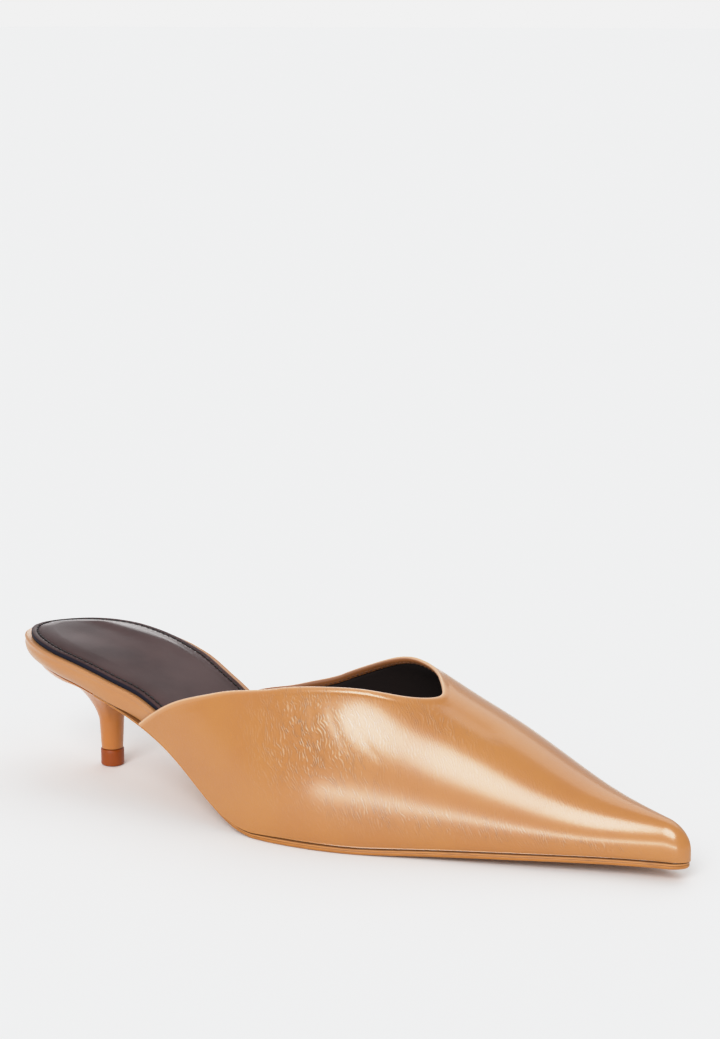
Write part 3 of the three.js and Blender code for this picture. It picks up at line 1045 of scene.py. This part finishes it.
@dataclass
class Outsole:
    """Thin leather sole with a rounded lower edge and a fine groove along its side."""

    last: Last
    frame: Frame
    start: float = 47.3
    edge_round: float = 0.7
    groove_place: float = 0.62
    groove_depth: float = 0.16
    groove_reach: float = 0.05
    wall: Span = (0.38, 0.97)
    top_inset: float = 0.1

    def ring(self, inset: float, share: float) -> Ring:
        """Line around the sole's edge.

        Args:
            inset: Distance inwards from the edge.
            share: Share of the sole's thickness.

        Returns:
            The ring, marked with that share.
        """
        return Ring(
            lambda x, side: self.last.sole_margin(x) + inset,
            lambda x, y: self.last.sole_bottom(x, y) + share * self.last.sole_thickness(x),
            share,
        )

    def build(self, finish: "Finish") -> None:
        """Makes the outsole: a rounded lower edge, the wall with its groove, and the top.

        Args:
            finish: Its leather.
        """
        rings = []
        for turn in np.linspace(0.0, math.pi / 2, 7):
            rise = self.edge_round * (1.0 - math.cos(turn)) / self.last.fore_sole
            rings.append(self.ring(self.edge_round * (1.0 - math.sin(turn)), rise))
        for share in np.linspace(*self.wall, 18):
            dent = self.groove_depth * float(bump(share, self.groove_place, self.groove_reach))
            rings.append(self.ring(dent, share))
        rings.append(self.ring(self.top_inset, 1.0))
        slab = Slab(self.last, rings, start=self.start, steps=240, across=16, square_heel=True)
        make_piece("outsole_leather", slab.sheet(), self.frame, "outsole", finish, sharp=50)


@dataclass
class Heel:
    """Shallow cup under the seat that sweeps into the slim stem."""

    last: Last
    frame: Frame
    cup_wall: float = 2.4
    breast_wall: float = 0.8
    cup_margin: float = 0.2
    breast: float = 47.0
    stem_place: float = STEM_PLACE
    stem_top_radius: float = 4.6
    stem_foot_radius: float = 4.05
    stem_top: float = 17.0
    fullness: float = 1.3
    stem_foot: float = 6.7
    wall_lean: float = 1.5
    wall_power: float = 1.3
    edge_gap: float = 0.2
    softening: float = 0.45
    thinning: Span = (20.0, 44.0)
    corner_end: float = 0.35
    top_shares: tuple[float, ...] = (0.0, 0.3, 0.6, 0.9, 0.987)
    blur: int = 40
    blur_reach: float = 13.0
    side_steps: int = 60
    breast_steps: int = 24

    def rim(self) -> Array:
        """The cup's outline in plan: round the back from the breast, then along the breast.

        Returns:
            Corners of the outline, from the breast's lateral end.
        """
        def cup(x: Array) -> Array:
            """Inset of the cup from the sole's edge."""
            return self.last.lean(x) + self.cup_margin

        back = np.arange(self.side_steps + 1) / self.side_steps
        begin = float(cup(np.array(0.0)))
        x = lerp(begin, self.breast, 1.0 - np.cos(np.pi / 2 * back))
        lateral = np.stack([x, self.last.edge(x, Side.LATERAL, cup(x))], -1)[::-1]
        medial = np.stack([x, self.last.edge(x, Side.MEDIAL, cup(x))], -1)
        way = (np.arange(1, self.breast_steps) / self.breast_steps)[:, None]
        front = lerp(medial[-1], lateral[0], way)
        return np.concatenate([lateral[:-1], medial, front])

    def softened(self, turn: Array, radius: Array) -> Array:
        """The rim's distance from the stem's axis, averaged over neighbouring directions.

        Args:
            turn: Directions of the rim's corners from the axis, in radians.
            radius: Their distances from it.

        Returns:
            The averaged distances, never more than the rim's own.
        """
        order = np.argsort(turn)
        around = np.radians(np.arange(-180, 180))
        even = np.interp(around, turn[order], radius[order], period=2.0 * np.pi)
        weight = bump(np.arange(-self.blur, self.blur + 1), 0.0, self.blur_reach)
        wide = np.concatenate([even[-self.blur:], even, even[:self.blur]])
        smooth = np.convolve(wide, weight / weight.sum(), "valid")
        return np.minimum(radius, np.interp(turn, around, smooth, period=2.0 * np.pi))

    def build(self, finish: "Finish") -> None:
        """Makes the heel. A sweep ring is the rim drawn in to the stem by a power of a sine.

        Args:
            finish: Its cover.
        """
        rim = self.rim()
        axis = np.array([self.stem_place, 0.0])
        turn = np.arctan2(rim[:, 1], rim[:, 0] - self.stem_place)
        ray = np.stack([np.cos(turn), np.sin(turn)], -1)
        soft = axis + ray * self.softened(turn, np.linalg.norm(rim - axis, axis=1))[:, None]
        top = self.last.sole_top(rim[:, 0], rim[:, 1])
        rings = []

        def add(plan: Array, height: Any) -> None:
            """Adds a ring from its outline in plan and its height."""
            rings.append(np.concatenate([plan, np.broadcast_to(height, len(rim))[:, None]], 1))

        for share in self.top_shares:
            plan = lerp(axis, rim, share)
            add(plan, self.last.sole_top(plan[:, 0], plan[:, 1]))
        slope = (self.wall_lean * self.last.lean(rim[:, 0]) / self.last.rim_lean)[:, None]
        foot = lerp(rim, soft, self.softening) - ray * slope
        wall = lerp(self.cup_wall, self.breast_wall, smoothstep(rim[:, 0], *self.thinning))
        for share in np.linspace(0.0, 1.0, 8):
            add(lerp(rim, foot, share**self.wall_power), top - lerp(self.edge_gap, wall, share))
        for angle in np.linspace(0.0, math.pi / 2, 49)[1:]:
            inward = math.sin(angle) ** self.fullness
            down = 1.0 - math.cos(angle) ** self.fullness
            corner = lerp(foot, soft - ray * slope, smoothstep(np.array(inward), 0.0, self.corner_end))
            plan = lerp(corner, axis + ray * self.stem_top_radius, inward)
            add(plan, lerp(top - wall, self.stem_top, down))
        for share in np.linspace(0.0, 1.0, 9)[1:]:
            radius = lerp(self.stem_top_radius, self.stem_foot_radius, share)
            add(axis + ray * radius, lerp(self.stem_top, self.stem_foot, share))
        add(axis + ray * (self.stem_foot_radius - 0.15), self.stem_foot)
        add(np.broadcast_to(axis, rim.shape), self.stem_foot)
        points = np.stack(rings)
        rows, columns = points.shape[:2]
        flat = points.reshape(-1, 3)
        uv = np.stack([np.tile(np.arange(columns) / columns, rows), flat[:, 2] / 50.0], -1)
        sheet = Sheet(flat, grid_faces(rows, columns, True).tolist(), uv)
        make_piece("heel_cover", sheet, self.frame, "heel", finish, sharp=55)


@dataclass
class TopPiece:
    """Small wearing cap under the stem, turned from one profile."""

    frame: Frame
    stem_place: float = STEM_PLACE
    height: float = 6.4
    radius: float = 4.35
    edge_round: float = 0.6
    steps: int = 72

    def build(self, finish: "Finish") -> None:
        """Makes the cap: a flat foot, a rounded edge, a straight wall and a bevelled top.

        Args:
            finish: Its rubber.
        """
        r, e, h = self.radius, self.edge_round, self.height
        turn = np.linspace(0.0, math.pi / 2, 8)
        foot = np.stack([r - e + e * np.sin(turn), e - e * np.cos(turn)], -1)
        wall = np.array([[r, 1.6], [r - 0.02, 3.2], [r, 4.8], [r, h - 0.35], [r - 0.12, h - 0.1]])
        top = np.array([[r - 0.35, h], [r - 1.4, h], [0.0, h]])
        profile = np.concatenate([[[0.0, 0.0], [r - 1.6, 0.0]], foot, wall, top])
        angle = 2.0 * np.pi * np.arange(self.steps) / self.steps
        x = self.stem_place + profile[:, :1] * np.cos(angle)
        y = profile[:, :1] * np.sin(angle)
        z = np.broadcast_to(profile[:, 1:], x.shape)
        points = np.stack([x, y, z], -1).reshape(-1, 3)
        uv = np.stack([np.tile(angle / (2.0 * np.pi), len(profile)), points[:, 2] / h], -1)
        sheet = Sheet(points, grid_faces(len(profile), self.steps, True).tolist(), uv)
        make_piece("top_piece_cap", sheet, self.frame, "top_piece", finish, sharp=50)


def tone(red: float, green: float, blue: float) -> Colour:
    """A screen colour from 0 to 255 as the linear colour that a shader takes."""
    screen = np.array([red, green, blue]) / 255.0
    linear = np.where(screen <= 0.04045, screen / 12.92, ((screen + 0.055) / 1.055) ** 2.4)
    return (float(linear[0]), float(linear[1]), float(linear[2]), 1.0)


class Wire:
    """One output of a shader, on which Python's operators add Math nodes."""

    def __init__(self, graph: "Graph", socket: bpy.types.NodeSocket) -> None:
        """Wraps the socket."""
        self.graph = graph
        self.socket = socket

    def __add__(self, other: Any) -> "Wire":
        """Sum."""
        return self.graph.math("ADD", self, other)

    def __radd__(self, other: Any) -> "Wire":
        """Sum, with the number first."""
        return self.graph.math("ADD", other, self)

    def __sub__(self, other: Any) -> "Wire":
        """Difference."""
        return self.graph.math("SUBTRACT", self, other)

    def __rsub__(self, other: Any) -> "Wire":
        """Difference, with the number first."""
        return self.graph.math("SUBTRACT", other, self)

    def __mul__(self, other: Any) -> "Wire":
        """Product."""
        return self.graph.math("MULTIPLY", self, other)

    def __rmul__(self, other: Any) -> "Wire":
        """Product, with the number first."""
        return self.graph.math("MULTIPLY", other, self)


class Graph:
    """Node tree of one material."""

    def __init__(self, name: str) -> None:
        """Starts an empty material."""
        self.material = bpy.data.materials.new(name)
        self.material.use_nodes = True
        self.tree = self.material.node_tree
        self.tree.nodes.clear()

    def node(self, kind: str, settings: dict[str, Any] | None = None,
             inputs: dict[Any, Any] | None = None, output: Any = 0) -> Wire:
        """Adds a node.

        Args:
            kind: Type of the node.
            settings: Its properties; "stops" gives a ramp's places and colours.
            inputs: Values or wires of its sockets, by name or number.
            output: Which output to return.

        Returns:
            The wire of that output.
        """
        made = self.tree.nodes.new(kind)
        for name, value in (settings or {}).items():
            if name == "stops":
                ramp = made.color_ramp.elements
                while len(ramp) < len(value):
                    ramp.new(0.5)
                for element, (place, colour) in zip(ramp, value):
                    element.position = place
                    element.color = colour
            else:
                setattr(made, name, value)
        for name, value in (inputs or {}).items():
            if isinstance(value, Wire):
                self.tree.links.new(value.socket, made.inputs[name])
            else:
                made.inputs[name].default_value = value
        return Wire(self, made.outputs[output])

    def math(self, operation: str, *values: Any) -> Wire:
        """Adds a Math node."""
        return self.node("ShaderNodeMath", {"operation": operation}, dict(enumerate(values)))

    def ramp(self, value: Wire, low: float, high: float) -> Wire:
        """Smooth step of a value from 0 at low to 1 at high."""
        inputs = {"Value": value, "From Min": low, "From Max": high}
        return self.node("ShaderNodeMapRange", {"interpolation_type": "SMOOTHSTEP"}, inputs)

    def blend(self, factor: Any, first: Any, second: Any) -> Wire:
        """Mix of two colours."""
        return self.node("ShaderNodeMix", {"data_type": "RGBA"}, {0: factor, 6: first, 7: second}, 2)

    def attribute(self, name: str) -> Wire:
        """A number that the mesh carries."""
        return self.node("ShaderNodeAttribute", {"attribute_name": name}, None, "Fac")

    def place(self) -> Wire:
        """Place on the object, in metres."""
        return self.node("ShaderNodeTexCoord", None, None, "Object")

    def stretched(self, place: Wire, scale: Triple) -> Wire:
        """A place stretched along its three axes."""
        return self.node("ShaderNodeMapping", None, {"Vector": place, "Scale": scale})

    def surface_place(self, size: float) -> Wire:
        """The piece's own UV, as lengths on a surface of this size."""
        uv = self.node("ShaderNodeTexCoord", None, None, "UV")
        return self.stretched(uv, (size, size, 1.0))

    def turned(self, place: Wire, angle: float, scale: Triple) -> Wire:
        """A place turned about its third axis, then stretched."""
        first = self.node("ShaderNodeMapping", None, {"Vector": place, "Rotation": (0.0, 0.0, angle)})
        return self.stretched(first, scale)

    def warped(self, place: Wire, scale: float, amount: float) -> Wire:
        """A place moved about by soft noise."""
        inputs = {"Vector": place, "Scale": scale, "Detail": 2.0}
        wave = self.node("ShaderNodeTexNoise", None, inputs, "Color")
        half = (0.5, 0.5, 0.5)
        centred = self.node("ShaderNodeVectorMath", {"operation": "SUBTRACT"}, {0: wave, 1: half})
        shift = self.node("ShaderNodeVectorMath", {"operation": "SCALE"}, {0: centred, "Scale": amount})
        return self.node("ShaderNodeVectorMath", None, {0: place, 1: shift})

    def noise(self, place: Wire, scale: float, detail: float = 2.0, roughness: float = 0.5) -> Wire:
        """Noise from 0 to 1."""
        inputs = {"Vector": place, "Scale": scale, "Detail": detail, "Roughness": roughness}
        return self.node("ShaderNodeTexNoise", None, inputs)

    def relief(self, height: Wire, distance: float, under: Wire | None = None) -> Wire:
        """Bump from a height from 0 to 1, with its depth in metres, over another bump if given."""
        inputs: dict[Any, Any] = {"Height": height, "Distance": distance, "Strength": 1.0}
        if under is not None:
            inputs["Normal"] = under
        return self.node("ShaderNodeBump", None, inputs)

    def finish(self, inputs: dict[str, Any]) -> bpy.types.Material:
        """Closes the tree with one Principled shader."""
        shader = self.node("ShaderNodeBsdfPrincipled", None, inputs)
        end = self.tree.nodes.new("ShaderNodeOutputMaterial")
        self.tree.links.new(shader.socket, end.inputs["Surface"])
        return self.material


@dataclass(frozen=True)
class Finish:
    """A finish of the shoe: its name and the colour it starts from."""

    name: str
    colour: Colour

    def material(self) -> bpy.types.Material:
        """The finish as a material."""
        raise NotImplementedError


@dataclass(frozen=True)
class GlossLeather(Finish):
    """Glazed calf: crinkled where the vamp flexes, with painted highlights on the crinkle ridges and
    along its turned edge, and painted shade on the facing inside.
    """

    deep: Colour = tone(160, 94, 27)
    # pale: painted highlight colour on the ridges of the crinkles.
    pale: Colour = tone(236, 202, 170)
    # Painted highlight along the turned topline edge.
    edge_highlight: Colour = tone(232, 192, 162)
    # Painted shade on the facing inside the opening.
    facing: Colour = tone(150, 86, 36)
    roughness: float = 0.45
    glaze: float = 1.0
    glaze_roughness: float = 0.225
    crinkle_depth: float = 0.00052
    steep_rows: Span = (-0.5, 0.95)
    flat_rows: Span = (-0.95, 1.2)

    def ripples(self, g: Graph, place: Wire, angle: float, pitch: float) -> Wire:
        """Broken rows of parallel ridges: the sine of the way across them, faded in patches.

        Args:
            g: The material's nodes.
            place: Place on the surface in millimetres.
            angle: Turn of the rows in radians.
            pitch: Distance from ridge to ridge in millimetres.

        Returns:
            Heights from 0 to 1.
        """
        turned = g.turned(place, angle, (1.0, 1.0, 1.0))
        across = g.node("ShaderNodeSeparateXYZ", None, {"Vector": turned}, "X")
        drift = g.noise(g.turned(place, angle, (0.4, 0.26, 1.0)), 1.0, 1.0)
        phase = across * (2.0 * math.pi / pitch) + drift * 9.0
        patches = g.ramp(g.noise(g.turned(place, angle, (0.55, 0.26, 1.0)), 1.0, 1.0), 0.34, 0.6)
        return (g.math("SINE", phase) * 0.5 + 0.5) * patches

    def material(self) -> bpy.types.Material:
        """The finish as a material."""
        g = Graph(self.name)
        crinkled = g.attribute("crinkle")
        place = g.surface_place(Last.length)
        bent = g.warped(place, 0.1, 6.0)
        steep = self.ripples(g, bent, *self.steep_rows)
        flat = self.ripples(g, bent, *self.flat_rows)
        folds = steep * 0.6 + flat * 0.4
        pores = g.node("ShaderNodeTexVoronoi", {"feature": "F1"}, {"Vector": place, "Scale": 2.3})
        broad = g.noise(g.place(), 38.0, 3.0)
        patch = g.noise(place, 0.22, 3.0)
        height = folds * crinkled
        orange_peel = g.noise(place, 1.0, 2.0, 0.6)
        fine = g.relief(orange_peel, 0.00014, g.relief(pores, 0.00001))
        normal = g.relief(height, self.crinkle_depth, fine)
        worn = g.blend(g.ramp(broad, 0.3, 0.75) * 0.35, self.colour, self.deep)
        # Painted highlights: the ridges of the crinkle ripples are lightened towards the pale colour.
        colour_with_painted_light = g.blend(crinkled * crinkled * g.ramp(folds, 0.3, 0.85) * 0.62, worn, self.pale)
        # Painted highlight along the turned topline edge, from the edge mark.
        colour_with_painted_light = g.blend(g.attribute("edge") * 0.55, colour_with_painted_light, self.edge_highlight)
        # Painted shade on the facing and the inner face, from the inside mark.
        colour_with_painted_light = g.blend(g.attribute("inside") * 0.9, colour_with_painted_light, self.facing)
        rough = self.roughness + (patch - 0.5) * 0.12 + crinkled * 0.05
        return g.finish({
            "Base Color": colour_with_painted_light,
            "Roughness": rough,
            "Specular IOR Level": 0.25,
            "Coat Weight": self.glaze,
            "Coat Roughness": self.glaze_roughness,
            "Coat IOR": 1.7,
            "Normal": normal,
        })


@dataclass(frozen=True)
class SmoothLeather(Finish):
    """Smooth finished leather or lacquered cover with faint grain."""

    deep: Colour = tone(170, 112, 66)
    roughness: float = 0.42
    glaze: float = 0.2
    glaze_roughness: float = 0.2
    specular: float = 0.25
    grain: float = 0.00002

    def material(self) -> bpy.types.Material:
        """The finish as a material."""
        g = Graph(self.name)
        place = g.place()
        broad = g.noise(place, 60.0, 3.0)
        grain = g.noise(place, 1400.0, 3.0, 0.6)
        colour = g.blend(g.ramp(broad, 0.35, 0.75) * 0.35, self.colour, self.deep)
        rough = self.roughness + (broad - 0.5) * 0.1
        return g.finish({
            "Base Color": colour,
            "Roughness": rough,
            "Specular IOR Level": self.specular,
            "Coat Weight": self.glaze,
            "Coat Roughness": self.glaze_roughness,
            "Normal": g.relief(grain, self.grain),
        })


@dataclass(frozen=True)
class SockLeather(Finish):
    """Dark soft leather: a cooler strip along its edge, a dark groove, fine grain and a low gloss."""

    strip: Colour = tone(30, 30, 40)
    dark: Colour = tone(48, 31, 31)
    groove: Colour = tone(24, 18, 20)

    def material(self) -> bpy.types.Material:
        """The finish as a material."""
        g = Graph(self.name)
        place = g.place()
        inset = g.attribute("rise")
        broad = g.noise(place, 45.0, 3.0)
        grain = g.noise(place, 1500.0, 3.0, 0.6)
        field_colour = g.blend(g.ramp(broad, 0.35, 0.7) * 0.6, self.colour, self.dark)
        edge = 1.0 - g.ramp(inset, 0.1, 0.4)
        groove = g.ramp(inset, 1.9, 2.3) * (1.0 - g.ramp(inset, 2.5, 3.0))
        colour = g.blend(edge, field_colour, self.strip)
        colour = g.blend(groove * 0.7, colour, self.groove)
        rough = 0.38 + (broad - 0.5) * 0.12 + edge * 0.1
        return g.finish({
            "Base Color": colour,
            "Roughness": rough,
            "Specular IOR Level": 0.05,
            "Coat Weight": g.ramp(inset, 1.2, 2.8) * 0.19,
            "Coat Roughness": 0.2,
            "Normal": g.relief(grain, 0.00003),
        })


@dataclass(frozen=True)
class SoleEdge(Finish):
    """Stained sole leather: darker streaks, a dark line in the groove, a tan upper edge and painted
    shade along its top under the upper.
    """

    # Dark colour of the groove line, of the painted shade under the upper and of the stain streaks.
    line: Colour = tone(84, 40, 14)
    upper_edge: Colour = tone(188, 128, 66)

    def material(self) -> bpy.types.Material:
        """The finish as a material."""
        g = Graph(self.name)
        place = g.place()
        rise = g.attribute("rise")
        streak = g.noise(g.stretched(place, (1.0, 1.0, 12.0)), 240.0, 3.0)
        grain = g.noise(place, 900.0, 3.0, 0.6)
        groove = g.ramp(rise, 0.54, 0.61) * (1.0 - g.ramp(rise, 0.63, 0.70))
        colour = g.blend(g.ramp(rise, 0.66, 0.72), self.colour, self.upper_edge)
        colour = g.blend(groove * 0.4, colour, self.line)
        # Painted shade along the top of the edge, where it meets the upper.
        colour = g.blend(g.ramp(rise, 0.88, 0.97) * 0.7, colour, self.line)
        colour = g.blend(g.ramp(streak, 0.4, 0.8) * 0.35, colour, self.line)
        return g.finish({
            "Base Color": colour,
            "Roughness": 0.45 + (streak - 0.5) * 0.15,
            "Coat Weight": 0.15,
            "Coat Roughness": 0.3,
            "Normal": g.relief(grain, 0.00003),
        })


@dataclass(frozen=True)
class Fabric(Finish):
    """Matt lining or thread with a fine nap."""

    nap: float = 900.0
    depth: float = 0.00008
    roughness: float = 0.85
    deep: Colour = tone(12, 8, 8)

    def material(self) -> bpy.types.Material:
        """The finish as a material."""
        g = Graph(self.name)
        place = g.place()
        nap = g.noise(place, self.nap, 4.0, 0.65)
        broad = g.noise(place, 70.0, 2.0)
        colour = g.blend(g.ramp(broad, 0.3, 0.8) * 0.4, self.colour, self.deep)
        return g.finish({
            "Base Color": colour,
            "Roughness": self.roughness + (nap - 0.5) * 0.1,
            "Normal": g.relief(nap, self.depth),
        })


@dataclass
class Studio:
    """Pale floor, soft lights and the camera at the photograph's angle."""

    position: Triple = (544.95, -657.5, 275.2)
    pan: float = 31.35
    tilt: float = 12.34
    lens: float = 79.41
    sensor: float = 36.0
    floor_reach: float = 60.0
    floor_level: float = -1e-4
    fill: float = 0.68

    def camera(self, frame: Frame) -> None:
        """Makes the camera; its place is fitted in the last's millimetres."""
        data = bpy.data.cameras.new("camera")
        data.lens = self.lens
        data.sensor_width = self.sensor
        data.sensor_fit = "AUTO"
        data.clip_start = 0.01
        data.clip_end = 300.0
        camera = add_object("camera", data)
        camera.location = frame.place(np.array(self.position)).tolist()
        camera.rotation_euler = (math.radians(90.0 - self.tilt), 0.0, math.radians(self.pan))
        bpy.context.scene.camera = camera

    def sun(self, name: str, azimuth: float, elevation: float, spread: float, power: float) -> None:
        """Adds a broad soft light.

        Args:
            name: Name of the light.
            azimuth: Where it stands, in degrees from +X towards +Y.
            elevation: Its height over the floor in degrees.
            spread: How wide it looks from the shoe, in degrees.
            power: Its strength.
        """
        data = bpy.data.lights.new(name, "SUN")
        data.energy = power
        data.angle = math.radians(spread)
        light = add_object(name, data)
        light.rotation_euler = (math.radians(90.0 - elevation), 0.0, math.radians(azimuth + 90.0))

    def panel(self, name: str, azimuth: float, distance: float, width: float, height: float,
              power: float) -> None:
        """Adds a long low panel that stands on the floor and faces the shoe.

        Args:
            name: Name of the light.
            azimuth: Where it stands, in degrees from +X towards +Y.
            distance: How far away, in metres.
            width: Its length along the floor.
            height: Its height.
            power: Its strength in watts.
        """
        data = bpy.data.lights.new(name, "AREA")
        data.shape = "RECTANGLE"
        data.size = width
        data.size_y = height
        data.energy = power
        light = add_object(name, data)
        turn = math.radians(azimuth)
        light.location = (distance * math.cos(turn), distance * math.sin(turn), height / 2.0 + 0.005)
        light.rotation_euler = (math.pi / 2.0, 0.0, turn + math.pi / 2.0)

    def floor(self) -> None:
        """Makes the pale floor."""
        reach = self.floor_reach
        mesh = bpy.data.meshes.new("floor")
        plan = ((-reach, -reach), (reach, -reach), (reach, reach), (-reach, reach))
        corners = [(x, y, self.floor_level) for x, y in plan]
        mesh.from_pydata(corners, [], [(0, 1, 2, 3)])
        floor = add_object("floor", mesh)
        g = Graph("floor_paper")
        broad = g.noise(g.place(), 0.4, 2.0)
        colour = g.blend(broad, (0.895, 0.895, 0.895, 1.0), (0.905, 0.905, 0.905, 1.0))
        material = g.finish({"Base Color": colour, "Roughness": 1.0, "Specular IOR Level": 0.0})
        mesh.materials.append(material)

    def world(self) -> None:
        """Even pale surroundings; the strip over the floor's far edge takes the floor's tone."""
        world = bpy.data.worlds.new("studio")
        world.use_nodes = True
        tree = world.node_tree
        tree.nodes.clear()
        light = tree.nodes.new("ShaderNodeBackground")
        light.inputs["Color"].default_value = (0.96, 0.985, 1.0, 1.0)
        light.inputs["Strength"].default_value = self.fill
        seen = tree.nodes.new("ShaderNodeBackground")
        seen.inputs["Color"].default_value = (1.12, 1.12, 1.12, 1.0)
        path = tree.nodes.new("ShaderNodeLightPath")
        mix = tree.nodes.new("ShaderNodeMixShader")
        end = tree.nodes.new("ShaderNodeOutputWorld")
        tree.links.new(path.outputs["Is Camera Ray"], mix.inputs[0])
        tree.links.new(light.outputs[0], mix.inputs[1])
        tree.links.new(seen.outputs[0], mix.inputs[2])
        tree.links.new(mix.outputs[0], end.inputs["Surface"])
        bpy.context.scene.world = world

    def build(self, frame: Frame) -> None:
        """Makes the whole studio."""
        self.camera(frame)
        self.floor()
        self.world()
        self.sun("key", azimuth=-80.0, elevation=40.0, spread=30.0, power=1.65)
        self.sun("top", azimuth=95.0, elevation=58.0, spread=50.0, power=0.7)
        self.sun("rear", azimuth=124.0, elevation=8.0, spread=22.0, power=0.3)
        self.panel("low", azimuth=-78.0, distance=2.2, width=1.9, height=0.13, power=11.0)
        self.grade()

    def grade(self) -> None:
        """Sets the view: tones pass unchanged up to 0.6 and roll off softly above."""
        view = bpy.context.scene.view_settings
        view.view_transform = "Standard"
        view.use_curve_mapping = True
        mapping = view.curve_mapping
        mapping.clip_max_x = 2.0
        curve = mapping.curves[3]
        curve.points[-1].location = (2.0, 1.0)
        for place in ((0.3, 0.3), (0.6, 0.6), (0.8, 0.75), (1.0, 0.84), (1.2, 0.9), (1.6, 0.985)):
            curve.points.new(*place)
        mapping.update()


CREASES = (
    Crease((178.0, -0.16), (190.0, -0.22), (206.0, -0.20), 5.0, 0.5),
    Crease((128.0, -0.46), (131.0, -0.56), (138.0, -0.68), 1.1, 0.09),
    Crease((134.0, -0.44), (137.0, -0.56), (145.0, -0.70), 1.1, 0.09),
    Crease((141.0, -0.44), (144.0, -0.56), (153.0, -0.70), 1.1, 0.08),
    Crease((148.0, -0.44), (152.0, -0.56), (162.0, -0.68), 1.1, 0.08),
    Crease((156.0, -0.46), (161.0, -0.56), (172.0, -0.66), 1.1, 0.08),
)


def main() -> None:
    """Builds the shoe piece by piece, then the studio."""
    logging.basicConfig(level=logging.INFO, format="%(name)s: %(message)s")
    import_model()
    last = Last()
    frame = Frame()
    tan = GlossLeather("glazed_leather", tone(175, 112, 36))
    wrap = SmoothLeather("wrap_leather", tone(176, 123, 76), glaze=0.45)
    cover = SmoothLeather("heel_cover_leather", tone(182, 110, 38), glaze=0.7, glaze_roughness=0.15)
    lining = Fabric("dark_lining", tone(32, 18, 14))
    thread = Fabric("black_thread", tone(22, 13, 14), nap=2500.0, depth=0.00005, roughness=0.6)
    tan_thread = Fabric("tan_thread", tone(120, 76, 46), nap=2500.0, depth=0.00005, roughness=0.6)
    sock_leather = SockLeather("sock_leather", tone(74, 52, 51))
    sole_leather = SoleEdge("sole_leather", tone(174, 110, 38))
    cap = SmoothLeather("cap_rubber", tone(146, 67, 14), tone(124, 52, 10), roughness=0.4, glaze=0.1)
    footbed = Footbed(last, frame)
    Outsole(last, frame).build(sole_leather)
    footbed.build(wrap)
    Sock(last, frame, footbed).build(sock_leather, thread)
    Upper(last, frame, creases=CREASES).build(tan, lining, tan_thread)
    Heel(last, frame).build(cover)
    TopPiece(frame).build(cap)
    Studio().build(frame)
    bpy.context.view_layer.update()


if __name__ == "__main__":
    main()
